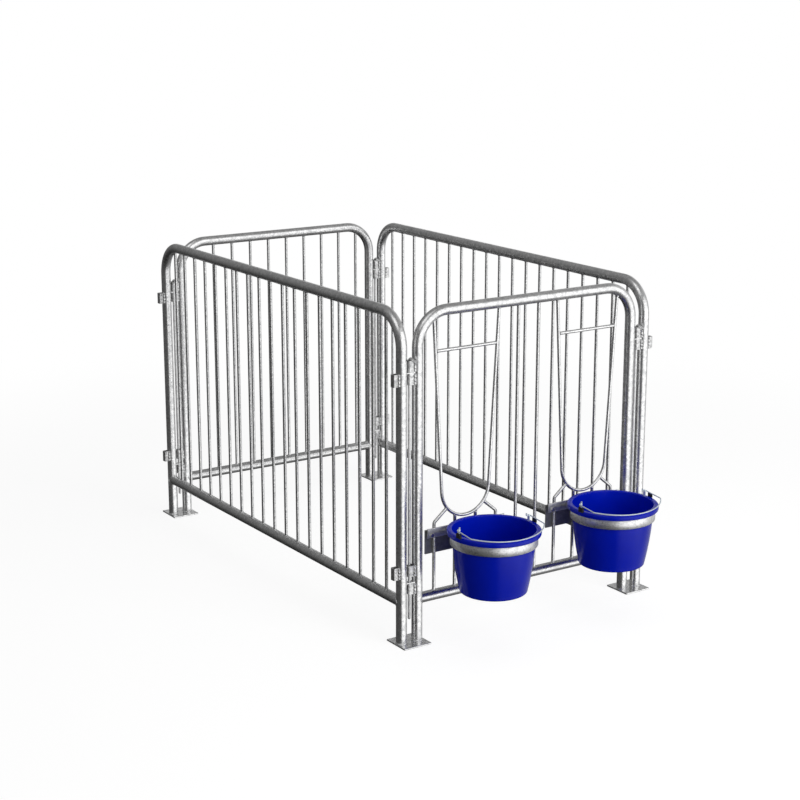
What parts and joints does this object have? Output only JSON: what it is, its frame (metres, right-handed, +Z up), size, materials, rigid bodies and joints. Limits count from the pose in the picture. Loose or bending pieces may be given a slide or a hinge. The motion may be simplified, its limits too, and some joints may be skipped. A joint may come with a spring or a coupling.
{
  "type": "calf pen",
  "caption": "Single calf pen of tubular barred panels pinned at the corners, with feeding loops in the front panel and round buckets held in rings before them.",
  "frame": {"origin": "on the floor, under the centre of the bounding box of the pen and its buckets", "axes": "+X along the front panel to its right, +Y from the feeding front towards the rear panel, +Z up"},
  "size_m": [1.072, 2.0356, 1.1155],
  "materials": {
    "tube": "hot-dip galvanised, mottled",
    "bar": "hot-dip galvanised, mottled",
    "rod": "hot-dip galvanised",
    "plate": "hot-dip galvanised, glossy",
    "holder": "hot-dip galvanised, spangled",
    "ring": "hot-dip galvanised, spangled",
    "strap": "hot-dip galvanised",
    "pin": "hot-dip galvanised",
    "bolt": "zinc plated",
    "bucket": "smooth moulded, satin gloss",
    "bail": "bright zinc wire"
  },
  "bodies": {
    "frame": {"hoop_left": "tube", "infill_left": "bar", "hoop_right": "tube", "infill_right": "bar", "hoop_front": "tube", "infill_front": "bar", "hoop_rear": "tube", "infill_rear": "bar", "feed_loop_left": "rod", "loop_crossbar_left": "rod", "holder_plate_left": "holder", "bucket_ring_left": "ring", "holder_bolt_left_1": "bolt", "holder_bolt_left_2": "bolt", "feed_loop_right": "rod", "loop_crossbar_right": "rod", "holder_plate_right": "holder", "bucket_ring_right": "ring", "holder_bolt_right_1": "bolt", "holder_bolt_right_2": "bolt", "base_plate_front_left": "plate", "lug_front_left_upper": "strap", "strap_front_left_upper_1": "strap", "strap_front_left_upper_2": "strap", "lug_front_left_lower": "strap", "strap_front_left_lower_1": "strap", "strap_front_left_lower_2": "strap", "base_plate_front_right": "plate", "lug_front_right_upper": "strap", "strap_front_right_upper_1": "strap", "strap_front_right_upper_2": "strap", "lug_front_right_lower": "strap", "strap_front_right_lower_1": "strap", "strap_front_right_lower_2": "strap", "base_plate_rear_left": "plate", "lug_rear_left_upper": "strap", "strap_rear_left_upper_1": "strap", "strap_rear_left_upper_2": "strap", "lug_rear_left_lower": "strap", "strap_rear_left_lower_1": "strap", "strap_rear_left_lower_2": "strap", "base_plate_rear_right": "plate", "lug_rear_right_upper": "strap", "strap_rear_right_upper_1": "strap", "strap_rear_right_upper_2": "strap", "lug_rear_right_lower": "strap", "strap_rear_right_lower_1": "strap", "strap_rear_right_lower_2": "strap"},
    "pin_front_left": {"drop_pin_front_left": "pin"},
    "pin_front_right": {"drop_pin_front_right": "pin"},
    "pin_rear_left": {"drop_pin_rear_left": "pin"},
    "pin_rear_right": {"drop_pin_rear_right": "pin"},
    "bucket_left": {"bucket_left": "bucket"},
    "bail_left": {"bail_left": "bail"},
    "bucket_right": {"bucket_right": "bucket"},
    "bail_right": {"bail_right": "bail"}
  },
  "joints": [
    {"name": "pin_lift_front_left", "type": "slide", "parent": "frame", "child": "pin_front_left", "axis": [0, 0, 1], "range_m": [0, 0.9]},
    {"name": "pin_lift_front_right", "type": "slide", "parent": "frame", "child": "pin_front_right", "axis": [0, 0, 1], "range_m": [0, 0.9]},
    {"name": "pin_lift_rear_left", "type": "slide", "parent": "frame", "child": "pin_rear_left", "axis": [0, 0, 1], "range_m": [0, 0.9]},
    {"name": "pin_lift_rear_right", "type": "slide", "parent": "frame", "child": "pin_rear_right", "axis": [0, 0, 1], "range_m": [0, 0.9]},
    {"name": "bucket_lift_left", "type": "slide", "parent": "frame", "child": "bucket_left", "axis": [0, 0, 1], "range_m": [0, 0.25]},
    {"name": "bail_swing_left", "type": "hinge", "parent": "bucket_left", "child": "bail_left", "pos_m": [-0.249, -0.86375, 0.4158], "axis": [-1, 0, 0], "range_deg": [0, 180]},
    {"name": "bucket_lift_right", "type": "slide", "parent": "frame", "child": "bucket_right", "axis": [0, 0, 1], "range_m": [0, 0.25]},
    {"name": "bail_swing_right", "type": "hinge", "parent": "bucket_right", "child": "bail_right", "pos_m": [0.249, -0.86375, 0.4158], "axis": [-1, 0, 0], "range_deg": [0, 180]}
  ]
}
